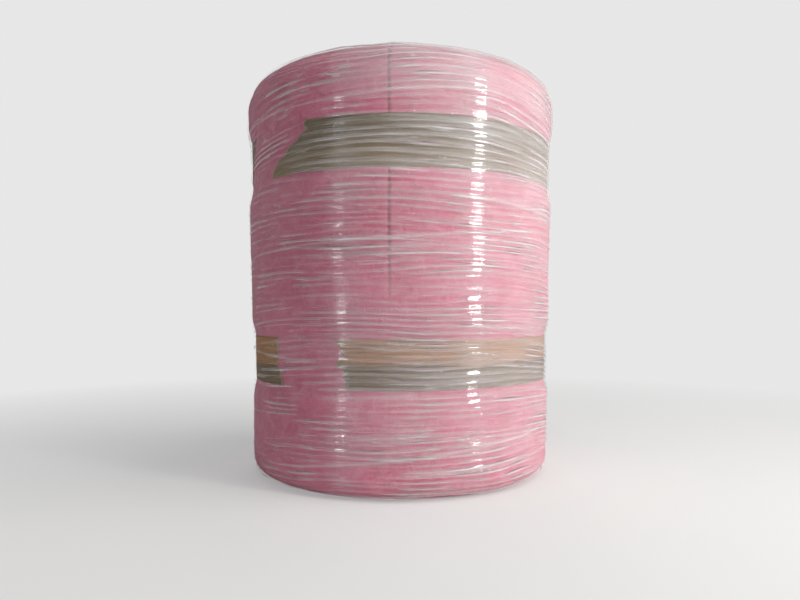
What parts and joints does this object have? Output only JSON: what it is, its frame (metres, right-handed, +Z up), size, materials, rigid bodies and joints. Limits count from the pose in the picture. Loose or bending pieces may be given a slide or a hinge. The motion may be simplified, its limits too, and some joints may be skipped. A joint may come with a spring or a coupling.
{
  "type": "insulation roll",
  "caption": "Glass wool insulation blanket wound into a roll round an open eye, standing on its end, held by kraft tape strips and wrapped in clear stretch film.",
  "frame": {"origin": "centre of the roll's bottom end, at floor level", "axes": "+Z up along the roll's axis; the blanket's outer end and the gaps in the tape are on the side that faces -Y"},
  "size_m": [0.7217, 0.7218, 0.9149],
  "materials": {
    "glass_wool": "pink matted glass fibre",
    "kraft_paper": "brown kraft paper tape",
    "clear_film": "clear stretch film in several layers, wrinkled along its wrap"
  },
  "bodies": {
    "root": {"insulation_blanket": "glass_wool", "upper_kraft_tape": "kraft_paper", "lower_kraft_tape": "kraft_paper", "stretch_film": "clear_film"}
  },
  "joints": []
}
